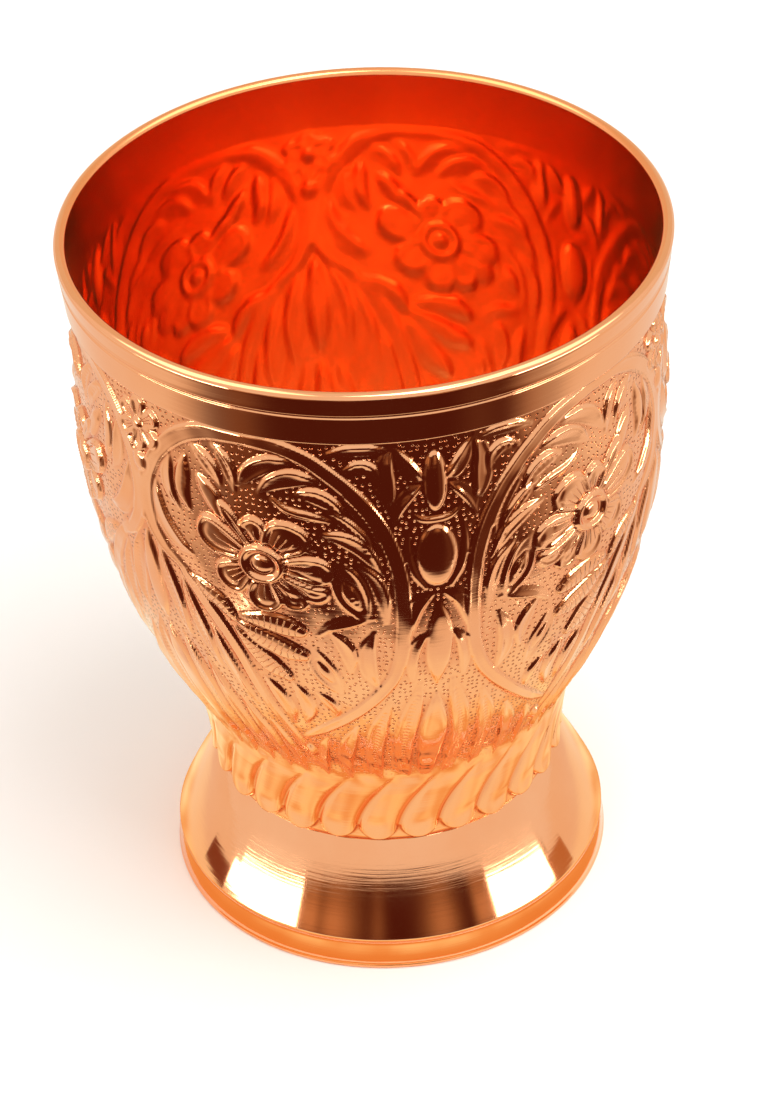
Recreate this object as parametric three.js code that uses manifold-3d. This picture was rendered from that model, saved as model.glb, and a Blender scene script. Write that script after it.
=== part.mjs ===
// Copper drinking tumbler on a pedestal foot. Millimetres, +Z up, origin at the middle of the base.
// The cup is one sheet of copper, folded outwards into a hem at the lip and drawn in to a narrow neck.
// Its wall is worked in relief with scrolls round large flowers, and a row of leaf tips hangs over the
// foot. The foot is spun from a second sheet, brazed under the cup through its inner flange, and closed
// below by a flat plate.

import * as THREE from 'three';
import { mergeVertices } from 'three/addons/utils/BufferGeometryUtils.js';
import Module from 'manifold-3d';

// Cup
const height = 100.4;
const rimRadius = 39.0;
const cupSheet = 0.8;
const hemDepth = 7.6;
const hemDrawIn = 0.7;
const hemLineDrop = 3.3;
const hemLineDepth = 0.16;
const shoulderSwell = 0.41;
const shoulderHandle = 12.3;
const flankHandle = 22.6;
const flankSlope = 0.546;
const waistHeight = 36.0;
const waistRadius = 28.15;
const neckHandle = 6.0;
const neckRadius = 23.4;
const neckCorner = 2.0;

// How deep the relief's hidden undersides and edges lie in the cup's sheet
const sunk = 0.4;
const edgeSunk = 0.2;

// Leaf tips round the neck, hanging below its corner
const tipCount = 27;
const tipAzimuth = 9.0;
const tipOverhang = 1.4;
const tipLength = 12.6;
const tipScallop = 1.7;
const tipRoot = 0.75;
const tipLift = 0.9;
const tipLean = 16.0;
const tipLeanPower = 1.6;
// Up a tip: share of its length, and the shares of the lift on its spine and in the groove beside it
const tipRows = [[0, 0.6, 0.4], [0.12, 1, 0.4], [0.6, 0.65, 0.3], [0.9, 0.3, 0.1]];
// Across a tip from its groove: share of the half width, of the spine's lift and of the scallop
const tipColumns = [[-1, 0, 1], [-0.4, 1, 0], [0.4, 1, 0]];

// Ornament on the wall: repeats, each mirrored about the tulip's axis. A place on it is given in degrees of
// turn from that axis, and in percent of the way from the leaf tips up to the hem.
const repeats = 3;
const tulipAzimuth = 10.9;

// Stems, as places along the middle: the scroll that rings the large flower and runs on down, and the stem
// that crosses under it
const stemHalfWidth = 1.4;
const stemLift = 0.65;
const scroll = [[51.4, 61.5], [59, 74], [55.4, 88], [45, 97], [31, 98], [17, 90], [9, 75.5], [7, 58.5],
  [8, 42.5], [16.5, 28.5], [31, 16]];
const crossStem = [[53.4, 64.5], [45, 51.5], [39.3, 36.5], [35.3, 21], [31.5, 4]];

// Leaves, as three places along the middle and a share of the half width
const leafHalfWidth = 2.0;
const leafLift = 0.65;
const sideLeaves = [
  [[57, 82], [54.5, 72.5], [48, 66.5], 0.9],
  [[37, 87], [30.5, 93], [22.5, 91], 0.8],
  [[19.5, 72.5], [16.5, 65], [13, 55.5], 1.2],
  [[24.5, 49], [23, 41.5], [19, 32.5], 1.05],
  [[41, 51.5], [34.5, 46.5], [27.5, 44], 1.45],
  [[9, 34], [10.5, 19.5], [11, 1.5], 1.3],
];
const axisLeaves = [
  [[0, 99], [0, 90.5], [0, 83.5], 0.7],
  [[0, 65], [0, 50.5], [0, 37], 0.95],
  [[60, 66.5], [60, 54.5], [60, 39.5], 0.95],
];

// Rosettes. Each ring from the edge to the middle has the shares of the radius and of the lift at a lobe,
// then the same in the notch beside it.
const flower = {
  place: [33, 69.5],
  lobes: 8,
  radius: 8.8,
  upward: 1,
  lift: 1.0,
  rings: [[0.94, 0.55, 0.67, 0.1], [0.35, 0.2, 0.35, 0.2], [0.28, 0.85, 0.28, 0.85], [0.09, 1, 0.09, 1]],
};
const bud = {
  place: [60, 93],
  lobes: 5,
  radius: 4.1,
  upward: 1,
  lift: 0.7,
  rings: [[0.83, 0.7, 0.52, 0.15], [0.2, 1, 0.2, 1]],
};
const tulipBulb = {
  place: [0, 74.5],
  lobes: 4,
  radius: 3.2,
  upward: 1.65,
  lift: 0.6,
  rings: [[0.84, 1, 0.84, 1], [0.53, 0.15, 0.53, 0.15], [0.2, 1, 0.2, 1]],
};
// Where the spokes of one lobe stand, as shares of its turn: its notch and its two shoulders
const lobeSpokes = [0, 0.22, 0.78];

// Foot
const footHeight = 17.0;
const footSheet = 0.9;
const flangeHole = 14.0;
const footNeckRadius = 22.8;
const neckFlare = [0.86, 1.07];
const shoulderHeight = 13.6;
const shoulderRadius = 25.1;
const shoulderRise = [0.69, 1.19];
const flankTop = [1.67, 2.88];
const flankFoot = [1.36, 3.04];
const edgeHeight = 4.75;
const edgeRadius = 29.75;
const edgeUndercut = 0.4;
const bandRadius = 30.1;
const bandWall = 1.2;
const bandChamfer = 0.25;

// Closing plate and the two joints
const plateSheet = 0.8;
const plateRecess = 1.2;
const plateSeatWidth = 0.9;
const plateClearance = 0.3;
const brazeThickness = 0.3;
const brazeWidth = 6.0;
const filletLeg = 0.9;
const filletClearance = 0.05;

// Facets of the round surfaces, and the thinnest sliver that the relief leaves between them
const turns = 48;
const sliver = 0.05;

const copper = { color: 0xd98a63, roughness: 0.22, metalness: 1.0 };
const footCopper = { color: 0xe09570, roughness: 0.12, metalness: 1.0 };
const plateCopper = { color: 0xc98058, roughness: 0.35, metalness: 1.0 };
const brazeAlloy = { color: 0xc9a15c, roughness: 0.4, metalness: 1.0 };

const wasm = await Module();
wasm.setup();

const at = (radius, z) => new THREE.Vector2(radius, z);

// Heights that follow from the sizes above.
const cupBase = footHeight + brazeThickness;
const hemBottom = height - hemDepth;
const hemOuter = rimRadius - hemDrawIn;
const wallTop = hemOuter - cupSheet;
const cornerTop = cupBase + neckCorner;
const tipBottom = cornerTop - tipOverhang;
const tipTop = tipBottom + tipLength;

// Millimetres in a degree of turn where the wall is widest. Below that, the relief narrows with the wall.
const degreeWidth = THREE.MathUtils.degToRad(hemOuter);

// The cup's outer curve runs from the neck up to the hem in two cubic stretches that meet at the waist.
const neckCurve = new THREE.CubicBezierCurve(
  at(neckRadius, cornerTop),
  at(neckRadius, cornerTop + neckHandle),
  at(waistRadius - flankSlope * neckHandle, waistHeight - neckHandle),
  at(waistRadius, waistHeight),
);
const flankCurve = new THREE.CubicBezierCurve(
  at(waistRadius, waistHeight),
  at(waistRadius + flankSlope * flankHandle, waistHeight + flankHandle),
  at(wallTop + shoulderSwell, hemBottom - shoulderHandle),
  at(wallTop, hemBottom),
);

// Points along a curve, each moved by offset to its left, which is towards the axis on a rising curve.
function stretch(curve, steps, offset = 0) {
  const points = [];
  for (let i = 0; i <= steps; i += 1) {
    const t = i / steps;
    const tangent = curve.getTangent(t);
    points.push(at(curve.getPoint(t).x - tangent.y * offset, curve.getPoint(t).y + tangent.x * offset));
  }
  return points;
}

// Points on a quarter or half circle, from one angle to another in degrees.
function arc(centre, radius, from, to, steps) {
  const points = [];
  for (let i = 0; i <= steps; i += 1) {
    const angle = THREE.MathUtils.degToRad(from + ((to - from) * i) / steps);
    points.push(at(centre.x + radius * Math.cos(angle), centre.y + radius * Math.sin(angle)));
  }
  return points;
}

// A closed solid of revolution. The profile runs anticlockwise and either starts and ends on the axis
// or returns to its first point.
function revolve(profile) {
  const geometry = new THREE.LatheGeometry(profile, turns);
  geometry.rotateX(Math.PI / 2);
  return closed(geometry);
}

function closed(geometry) {
  geometry.deleteAttribute('normal');
  geometry.deleteAttribute('uv');
  return mergeVertices(geometry, 1e-5);
}

function toSolid(geometry) {
  const vertProperties = new Float32Array(geometry.attributes.position.array);
  const triVerts = new Uint32Array(geometry.index.array);
  return new wasm.Manifold(new wasm.Mesh({ numProp: 3, vertProperties, triVerts }));
}

function toGeometry(solid) {
  const mesh = solid.getMesh();
  const geometry = new THREE.BufferGeometry();
  geometry.setAttribute('position', new THREE.BufferAttribute(new Float32Array(mesh.vertProperties), 3));
  geometry.setIndex(new THREE.BufferAttribute(new Uint32Array(mesh.triVerts), 1));
  return geometry;
}

function cupProfile() {
  const lipCentre = at(rimRadius - cupSheet, height - cupSheet);
  const lineHeight = height - hemLineDrop;
  const lineRadius = rimRadius - (hemDrawIn * hemLineDrop) / hemDepth;
  return [
    at(0, cupBase),
    ...arc(at(neckRadius - neckCorner, cornerTop), neckCorner, -90, 0, 2),
    ...stretch(neckCurve, 5).slice(1),
    ...stretch(flankCurve, 7).slice(1),
    at(hemOuter - hemLineDepth, hemBottom),
    at(hemOuter, hemBottom + hemLineDepth * 2),
    at(lineRadius, lineHeight - hemLineDepth * 2),
    at(lineRadius - hemLineDepth, lineHeight),
    at(lineRadius, lineHeight + hemLineDepth * 2),
    ...arc(lipCentre, cupSheet, 0, 180, 4),
    ...stretch(flankCurve, 5, cupSheet).reverse(),
    ...stretch(neckCurve, 3, cupSheet).reverse().slice(1),
    ...arc(at(neckRadius - neckCorner, cornerTop), neckCorner - cupSheet, 0, -90, 2).slice(1),
    at(0, cupBase + cupSheet),
  ];
}

// The outer radius of the cup's sheet at a height. Below the corner the leaf tips hang straight down.
function cupRadiusAt(z) {
  if (z <= cornerTop) {
    return neckRadius;
  }
  const curve = z < waistHeight ? neckCurve : flankCurve;
  let low = 0;
  let high = 1;
  for (let i = 0; i < 30; i += 1) {
    const middle = (low + high) / 2;
    if (curve.getPoint(middle).y < z) {
      low = middle;
    } else {
      high = middle;
    }
  }
  return curve.getPoint(low).x;
}

// Adds the point that stands a given rise above the wall. x runs round the wall and z up it.
function pushOnWall(positions, x, z, rise) {
  const azimuth = THREE.MathUtils.degToRad(x / degreeWidth);
  const radius = cupRadiusAt(z) + rise;
  positions.push(radius * Math.sin(azimuth), -radius * Math.cos(azimuth), z);
}

// A raised stroke on the wall, with a crest along its middle. Each station has its middle, its side as the
// step from there to its edge, and its lift. The edges are inside the sheet.
function stroke(stations) {
  const positions = [];
  stations.forEach(({ middle, side, lift }) => {
    pushOnWall(positions, middle.x - side.x, middle.y - side.y, -edgeSunk);
    pushOnWall(positions, middle.x, middle.y, lift);
    pushOnWall(positions, middle.x + side.x, middle.y + side.y, -edgeSunk);
  });
  return toSolid(tubeGeometry(positions, 3));
}

const onDrawing = ([turn, percent]) =>
  at(turn * degreeWidth, tipTop + ((hemBottom - tipTop) * percent) / 100);

// Stations along a smooth curve through places, at each share of the way, with the half width there.
function stations(places, rows, halfWidth, lift) {
  const curve = new THREE.SplineCurve(places.map(onDrawing));
  return rows.map(([share, fullness]) => {
    const along = curve.getTangent(share);
    return {
      middle: curve.getPoint(share),
      side: at(along.y, -along.x).multiplyScalar(halfWidth * fullness),
      lift: lift * fullness,
    };
  });
}

// A stem keeps its width, and thins out at both ends.
function stem(places, steps) {
  const rows = Array.from({ length: steps + 1 }, (_, step) => {
    const share = step / steps;
    return [share, Math.min(1, 0.45 + 5 * Math.min(share, 1 - share))];
  });
  return stroke(stations(places, rows, stemHalfWidth, stemLift));
}

function leaf([start, middle, end, breadth]) {
  const rows = [[0, 0.15], [0.25, 0.85], [0.6, 1], [1, 0.15]];
  return stroke(stations([start, middle, end], rows, leafHalfWidth * breadth, leafLift));
}

// A round raised form on the wall, with a notch before each lobe. It may be stretched upwards.
function rosette({ place, lobes, radius, upward, lift, rings }) {
  const positions = [];
  const middle = onDrawing(place);
  const addRing = (lobeReach, lobeRise, notchReach, notchRise) => {
    for (let lobe = 0; lobe < lobes; lobe += 1) {
      lobeSpokes.forEach((share) => {
        const angle = (2 * Math.PI * (lobe + share)) / lobes;
        const [reach, rise] = share === 0 ? [notchReach, notchRise] : [lobeReach, lobeRise];
        const x = middle.x + radius * reach * Math.cos(angle);
        pushOnWall(positions, x, middle.y + radius * reach * upward * Math.sin(angle), rise);
      });
    }
  };
  const notchShare = rings[0][2] / rings[0][0];
  addRing(notchShare / 4, -sunk, notchShare / 4, -sunk);
  addRing(1, -sunk, notchShare, -sunk);
  rings.forEach(([lobeReach, lobeRise, notchReach, notchRise]) =>
    addRing(lobeReach, lift * lobeRise, notchReach, lift * notchRise));
  return toSolid(tubeGeometry(positions, lobes * lobeSpokes.length));
}

// A closed body from rings of points, each with the same count, joined in turn. It is filled at both ends,
// or looped from the last ring to the first.
function tubeGeometry(positions, ring, looped = false) {
  const rows = positions.length / 3 / ring;
  const index = [];
  for (let row = 0; row < (looped ? rows : rows - 1); row += 1) {
    const above = (row + 1) % rows;
    for (let i = 0; i < ring; i += 1) {
      const next = (i + 1) % ring;
      const [a, b, c, d] = [row * ring + i, row * ring + next, above * ring + next, above * ring + i];
      index.push(a, b, c, a, c, d);
    }
  }
  for (let i = 1; i < ring - 1 && !looped; i += 1) {
    const last = (rows - 1) * ring;
    index.push(0, i + 1, i);
    index.push(last, last + i, last + i + 1);
  }
  const geometry = new THREE.BufferGeometry();
  geometry.setAttribute('position', new THREE.BufferAttribute(new Float32Array(positions), 3));
  geometry.setIndex(index);
  return geometry;
}

// The ring of leaf tips at the neck. Each leans as it rises, from a round end that hangs over the foot up to
// where it melts into the wall.
function leafTips() {
  const positions = [];
  const pitch = 360 / tipCount;
  const addRing = (share, riseAt) => {
    for (let number = 0; number < tipCount; number += 1) {
      tipColumns.forEach(([across, fullness, scallop]) => {
        const turn = tipAzimuth + pitch * (number + across / 2) + tipLean * share ** tipLeanPower;
        const z = tipBottom + tipLength * share + tipScallop * scallop * (1 - share);
        pushOnWall(positions, turn * degreeWidth, z, riseAt(fullness));
      });
    }
  };
  tipRows.forEach(([share, spine, groove]) =>
    addRing(share, (fullness) => tipLift * (groove + (spine - groove) * fullness)));
  addRing(1, () => -sunk);
  tipRows.slice(1).reverse().forEach(([share]) => addRing(share, () => -sunk));
  addRing(0, () => -tipRoot);
  return toSolid(tubeGeometry(positions, tipColumns.length * tipCount, true));
}

const union = (solids) => solids.reduce((whole, solid) => whole.add(solid));

// One repeat of the ornament, with the tulip's axis towards -Y.
function ornamentRepeat() {
  const half = union([
    stem(scroll, 13),
    stem(crossStem, 8),
    ...sideLeaves.map(leaf),
    rosette(flower),
  ]);
  return union([
    half,
    half.mirror([1, 0, 0]),
    ...axisLeaves.map(leaf),
    rosette(bud),
    rosette(tulipBulb),
  ]);
}

function cupGeometry() {
  const repeat = ornamentRepeat();
  const ornament = Array.from({ length: repeats }, (_, number) =>
    repeat.rotate([0, 0, tulipAzimuth + (360 * number) / repeats]));
  return toGeometry(union([toSolid(revolve(cupProfile())), leafTips(), ...ornament]).simplify(sliver));
}

// The foot's spun dome leans in more and more, from its crisp edge up a long flank and over the shoulder.
const flank = new THREE.CubicBezierCurve(
  at(edgeRadius, edgeHeight),
  at(edgeRadius - flankFoot[0], edgeHeight + flankFoot[1]),
  at(shoulderRadius + flankTop[0], shoulderHeight - flankTop[1]),
  at(shoulderRadius, shoulderHeight),
);
const shoulder = new THREE.CubicBezierCurve(
  at(shoulderRadius, shoulderHeight),
  at(shoulderRadius - shoulderRise[0], shoulderHeight + shoulderRise[1]),
  at(footNeckRadius + neckFlare[0], footHeight - neckFlare[1]),
  at(footNeckRadius, footHeight),
);

function footProfile() {
  const bandInner = bandRadius - bandWall;
  const seat = plateRecess + plateSheet;
  const inside = [...stretch(flank, 2, footSheet), ...stretch(shoulder, 3, footSheet).slice(1, -1)].reverse();
  return [
    at(bandInner, 0),
    at(bandRadius - bandChamfer, 0),
    at(bandRadius, bandChamfer),
    at(edgeRadius - edgeUndercut, edgeHeight - edgeUndercut),
    ...stretch(flank, 4),
    ...stretch(shoulder, 3).slice(1),
    at(flangeHole, footHeight),
    at(flangeHole, footHeight - footSheet),
    ...inside,
    at(bandInner - plateSeatWidth, edgeHeight - footSheet),
    at(bandInner - plateSeatWidth, seat),
    at(bandInner, seat),
    at(bandInner, 0),
  ];
}

function plateProfile() {
  const radius = bandRadius - bandWall - plateClearance;
  const top = plateRecess + plateSheet;
  return [at(0, plateRecess), at(radius, plateRecess), at(radius, top), at(0, top)];
}

function brazeProfile() {
  const outer = footNeckRadius - brazeThickness;
  const inner = outer - brazeWidth;
  return [
    at(inner, footHeight),
    at(outer, footHeight),
    at(outer, cupBase),
    at(inner, cupBase),
    at(inner, footHeight),
  ];
}

function filletProfile() {
  const outer = bandRadius - bandWall - filletClearance;
  return [
    at(outer, plateRecess - filletLeg),
    at(outer, plateRecess),
    at(outer - filletLeg - plateClearance, plateRecess),
    at(outer, plateRecess - filletLeg),
  ];
}

function piece(name, geometry, look) {
  geometry.computeVertexNormals();
  const mesh = new THREE.Mesh(geometry, new THREE.MeshStandardMaterial(look));
  mesh.name = name;
  return mesh;
}

const tumbler = new THREE.Group();
tumbler.name = 'tumbler';
tumbler.add(
  piece('cup', cupGeometry(), copper),
  piece('neck_braze', revolve(brazeProfile()), brazeAlloy),
  piece('foot', revolve(footProfile()), footCopper),
  piece('base_plate', revolve(plateProfile()), plateCopper),
  piece('base_solder', revolve(filletProfile()), brazeAlloy),
);

export default tumbler;
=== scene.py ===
"""Looks of the embossed copper tumbler: repousse wall, spun foot, closing plate, light and camera."""

import math

import bpy
import numpy as np
from mathutils import Matrix, Vector


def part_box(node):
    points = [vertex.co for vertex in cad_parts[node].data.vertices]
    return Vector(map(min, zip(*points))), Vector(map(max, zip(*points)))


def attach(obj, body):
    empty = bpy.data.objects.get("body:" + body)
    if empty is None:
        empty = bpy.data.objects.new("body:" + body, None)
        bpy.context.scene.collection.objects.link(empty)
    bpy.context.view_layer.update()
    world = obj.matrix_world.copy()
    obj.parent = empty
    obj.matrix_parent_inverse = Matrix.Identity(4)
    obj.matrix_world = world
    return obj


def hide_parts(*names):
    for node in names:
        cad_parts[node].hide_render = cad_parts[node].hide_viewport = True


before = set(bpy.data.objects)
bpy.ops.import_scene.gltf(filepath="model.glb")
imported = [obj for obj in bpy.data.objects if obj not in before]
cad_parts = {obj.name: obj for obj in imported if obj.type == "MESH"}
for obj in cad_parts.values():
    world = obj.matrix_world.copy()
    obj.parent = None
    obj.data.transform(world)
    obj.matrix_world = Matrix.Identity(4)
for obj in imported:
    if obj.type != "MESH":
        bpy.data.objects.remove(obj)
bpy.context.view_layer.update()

MM = 0.001

# Sizes of the tumbler in millimetres, taken from the frame where a node's box gives them.
CUP_LOW, CUP_HIGH = (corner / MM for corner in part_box("cup"))
_, FOOT_HIGH = (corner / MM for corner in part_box("foot"))
PLATE_LOW, PLATE_HIGH = (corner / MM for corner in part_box("base_plate"))
SOLDER_LOW, SOLDER_HIGH = (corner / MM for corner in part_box("base_solder"))
CUP_BASE = CUP_LOW.z
CUP_TOP = CUP_HIGH.z
RIM_RADIUS = CUP_HIGH.x
SHEET = 0.8
HEM_DEPTH = 7.6
HEM_DRAW_IN = 0.7
HEM_LINE_DROP = 3.3
HEM_BOTTOM = CUP_TOP - HEM_DEPTH
HEM_OUTER = RIM_RADIUS - HEM_DRAW_IN
HEM_LINE = CUP_TOP - HEM_LINE_DROP
WALL_TOP = HEM_OUTER - SHEET
SHOULDER_SWELL, SHOULDER_HANDLE = 0.41, 12.3
WAIST = (28.15, 36.0)
FLANK_SLOPE = 0.546
FLANK_HANDLE, NECK_HANDLE = 22.6, 6.0
NECK_RADIUS = 23.4
NECK_UPRIGHT = 25.3
NECK_CORNER = 0.6
FLOOR_CORNER = 1.4
FOOT_TOP = FOOT_HIGH.z
FOOT_SHEET = 0.9
FOOT_NECK = 22.8
FLANGE_HOLE = 14.0
DOME_SHOULDER = (25.1, 13.6)
EDGE = (29.75, 4.75)
BAND_RADIUS = FOOT_HIGH.x
BAND_WALL = 1.2
SEAT_WIDTH = 0.9
PLATE_RINGS = (9.0, 22.0)

# The ornament: a 60 degree sector, from the tulip's axis at turn 0 to the small flower's axis at turn 60,
# mirrored again and again round the cup. A point on it is (turn in degrees, height in millimetres).
SECTOR = 60.0
TULIP_AZIMUTH = 10.9
DEGREE = 0.668
FLOWER = (33.1, 73.9)
SMALL_FLOWER = (60.0, 88.4)
CELL = 0.1
RELIEF_LOW, RELIEF_HIGH = 16.8, HEM_BOTTOM + 0.1

# How fine the relief's blurs are, for the outer face, the inner face and the shade of recesses, and how much
# of the relief comes through to the inner face.
BLURS = (0.11, 0.42, 1.1)
INNER_SHARE = 0.95

# Handwork: how far the wall wavers, how much more it does in the band where the tips melt into it, where that
# band is and how wide, and how far the ornament wanders, in degrees of turn and in millimetres of height.
WAVER = 0.05
BAND_WAVER, BAND_MIDDLE, BAND_WIDTH = 0.14, 29.0, 7.0
WANDER_TURN, WANDER_RISE = 0.35, 0.22

# Mesh densities: columns round the axis, and millimetres between the points of an outline.
COLUMNS = 1080
WALL_STEP = 0.24
HEM_STEP = 0.16
INNER_STEP = 0.5
FOOT_COLUMNS = 360
FOOT_STEP = 0.22


def smoothstep(low, high, value):
    """0 below low, 1 above high, and a smooth rise between them."""
    share = np.clip((value - low) / (high - low), 0.0, 1.0)
    return share * share * (3.0 - 2.0 * share)


def spline(points, steps=14):
    """A Catmull-Rom curve through points, each a tuple of numbers, with steps samples a stretch."""
    knots = np.array(points, float)
    padded = np.vstack([2 * knots[0] - knots[1], knots, 2 * knots[-1] - knots[-2]])
    share = np.linspace(0, 1, steps, endpoint=False)[:, None]
    parts = []
    for a, b, c, d in zip(padded, padded[1:], padded[2:], padded[3:]):
        parts.append(0.5 * (2 * b + (c - a) * share + (2 * a - 5 * b + 4 * c - d) * share**2
                            + (3 * b - a - 3 * c + d) * share**3))
    return np.vstack(parts + [knots[-1:]])


def bezier(points, steps):
    """Points along a cubic Bezier curve."""
    a, b, c, d = np.array(points, float)
    share = np.linspace(0, 1, steps + 1)[:, None]
    return ((1 - share) ** 3 * a + 3 * (1 - share) ** 2 * share * b
            + 3 * (1 - share) * share**2 * c + share**3 * d)


def bump(across, middle, width):
    """A narrow ridge at a place across a stroke."""
    return np.exp(-((across - middle) / width) ** 2)


def rims(across, middle, width):
    """Two narrow ridges, one near each edge of a stroke."""
    return bump(across, middle, width) + bump(across, -middle, width)


def run_along(line):
    """How far each point of a line is from its start, along it."""
    return np.concatenate([[0], np.cumsum(np.hypot(*np.diff(line, axis=0).T))])


def pick(field, places):
    """What a field holds at one place on its last axis."""
    return np.take_along_axis(field, places[..., None], -1)[..., 0]


def near(point, *steps):
    """The places that each step, right and up, leads to from a point."""
    return [(point[0] + right, point[1] + up) for right, up in steps]


class Relief:
    """The worked surface of one sector: how far it stands above the cup's plain wall in millimetres, where
    its ground is left for punched dots, and where fine lines are chased, with their count so far."""

    def __init__(self):
        self.turns = np.arange(0, SECTOR + 1e-6, CELL / DEGREE)
        self.heights = np.arange(RELIEF_LOW, RELIEF_HIGH + 1e-6, CELL)
        self.x = self.turns * DEGREE
        self.lift = np.zeros((len(self.heights), len(self.turns)))
        self.ground = np.ones_like(self.lift)
        self.lined = np.zeros_like(self.lift)
        self.lines = np.zeros_like(self.lift)

    def window(self, x_low, x_high, z_low, z_high):
        """The slices of the cells inside a box, and their coordinates."""
        columns = slice(*np.searchsorted(self.x, [x_low, x_high]))
        rows = slice(*np.searchsorted(self.heights, [z_low, z_high]))
        x, z = np.meshgrid(self.x[columns], self.heights[rows])
        return (rows, columns), x, z

    def round_window(self, centre, reach):
        """The cells round a centre, as their distances from it in millimetres."""
        cx, cz = centre[0] * DEGREE, centre[1]
        where, x, z = self.window(cx - reach, cx + reach, cz - reach, cz + reach)
        return where, x - cx, z - cz

    def put(self, where, depth_in, form, lines=0.0, lined=0.0, groove=0.14):
        """Lays a form over the field. depth_in is the distance inside its outline, below 0 outside it."""
        under = self.lift[where]
        cut = groove * bump(np.minimum(depth_in, 0), 0, 0.25)
        inside = smoothstep(-0.1, 0.12, depth_in)
        self.lift[where] = (under - cut * (1 - inside)) * (1 - inside) + form * inside
        self.ground[where] *= 1 - smoothstep(-0.5, -0.1, depth_in)
        self.lines[where] = np.where(depth_in > 0, lines, self.lines[where])
        self.lined[where] = self.lined[where] * (1 - inside) + lined * inside

    def stroke(self, points, lift, kind):
        """A leaf or stem along a curve of (turn, height, half width in millimetres)."""
        line = spline([(turn * DEGREE, z, width) for turn, z, width in points])
        reach = line[:, 2].max() + 1.2
        low, high = line.min(0) - reach, line.max(0) + reach
        where, x, z = self.window(low[0], high[0], low[1], high[1])
        dx = x[..., None] - line[:, 0]
        dz = z[..., None] - line[:, 1]
        gap = np.hypot(dx, dz) - np.maximum(line[:, 2], 0.02)
        nearest = gap.argmin(-1)
        depth_in = -pick(gap, nearest)
        width = np.maximum(line[nearest, 2], 0.05)
        tangent = np.gradient(line[:, :2], axis=0)
        tangent /= np.linalg.norm(tangent, axis=1, keepdims=True) + 1e-9
        side = pick(dx, nearest) * tangent[nearest, 1] - pick(dz, nearest) * tangent[nearest, 0]
        run = run_along(line[:, :2])
        across = np.clip(side / width, -1.2, 1.2)
        thin = np.clip(width / 0.9, 0.4, 1.0)
        form = lift * thin * SECTIONS[kind](across)
        lined = smoothstep(0.8, 0.5, np.abs(across)) * thin if kind == "fan" else 0.0
        self.put(where, depth_in, form, run[nearest] / LINE_PITCH, lined)

    def petal(self, centre, outline, lift):
        """A petal from its outline round a flower's centre, in millimetres to the right and up as seen from
        outside. It has a raised edge, and ribs that run out from the centre."""
        loop = spline(outline[-1:] + outline + outline[:2], 8)[8:-9]
        reach = np.hypot(*loop.T).max()
        where, left, z = self.round_window(centre, reach + 0.8)
        x = -left
        nearest = np.full(x.shape, np.inf)
        inside = np.zeros(x.shape, bool)
        for (ax, az), (bx, bz) in zip(loop, np.roll(loop, -1, axis=0)):
            side_x, side_z = bx - ax, bz - az
            along = np.clip(((x - ax) * side_x + (z - az) * side_z) / (side_x**2 + side_z**2), 0, 1)
            nearest = np.minimum(nearest, np.hypot(x - ax - along * side_x, z - az - along * side_z))
            if az != bz:
                inside ^= ((az > z) != (bz > z)) & (x < ax + side_x * (z - az) / side_z)
        depth_in = np.where(inside, nearest, -nearest)
        out = np.hypot(x, z)
        axis_x, axis_z = loop.mean(0)
        away = np.arctan2(axis_x * z - axis_z * x, axis_x * x + axis_z * z)
        form = lift * (0.3 + 0.5 * out / reach) + 0.24 * bump(depth_in, 0.3, 0.18)
        form -= 0.1 * bump(depth_in, 1.0, 0.35)
        lined = smoothstep(0.4, 0.7, depth_in) * smoothstep(0.75, 0.6, out / reach)
        self.put(where, depth_in, form, away * RIBS, lined, groove=0.2)

    def hub(self, centre, radius, dome, lift):
        """A raised ring with a small dome inside it."""
        where, x, z = self.round_window(centre, radius + 1.2)
        out = np.hypot(x, z)
        form = 0.2 + lift * bump(out, radius, 0.4)
        form += lift * 0.8 * np.sqrt(np.clip(1 - (out / dome) ** 2, 0, 1))
        self.put(where, radius + 0.5 - out, form, groove=0.25)

    def boss(self, centre, radius_x, radius_z, lift):
        """A rounded oval bump."""
        where, x, z = self.round_window(centre, max(radius_x, radius_z) + 0.8)
        share = np.hypot(x / radius_x, z / radius_z)
        self.put(where, (1 - share) * min(radius_x, radius_z), lift * np.sqrt(np.clip(1 - share**2, 0.02, 1)))

    def beads(self, points, spacing=0.78, radius=0.22, depth=0.2):
        """A row of punched dots along a curve of (turn, height)."""
        line = spline([(turn * DEGREE, z) for turn, z in points])
        run = run_along(line)
        for mark in np.arange(spacing / 2, run[-1], spacing):
            centre = (np.interp(mark, run, line[:, 0]) / DEGREE, np.interp(mark, run, line[:, 1]))
            where, x, z = self.round_window(centre, 0.8)
            self.lift[where] -= depth * np.exp(-(x**2 + z**2) / radius**2)


# How high a stroke stands across its width, from -1 at one edge to 1 at the other.
SECTIONS = {
    "stem": lambda s: (0.4 + 0.2 * smoothstep(-1, 0.6, s) + 0.45 * bump(s, 0.82, 0.16)
                       + 0.25 * bump(s, -0.85, 0.12)),
    "blade": lambda s: (0.2 + 0.6 * smoothstep(-0.7, 0.8, s) + 0.3 * bump(s, 0.8, 0.22)
                        + 0.3 * bump(s, -0.85, 0.15)),
    "dish": lambda s: 0.12 + 0.75 * rims(s, 0.86, 0.14),
    "leaf": lambda s: 0.35 + 0.65 * np.clip(1 - s**4, 0, 1),
    "fan": lambda s: 0.3 + 0.6 * np.clip(1 - s**2, 0, 1) + 0.15 * rims(s, 0.85, 0.15),
    "ridge": lambda s: np.sqrt(np.clip(1 - s**2, 0.05, 1)),
}

# Millimetres from line to line across a fan leaf, and ribs of a petal in each radian round its flower.
LINE_PITCH = 0.8
RIBS = 5.6

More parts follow.
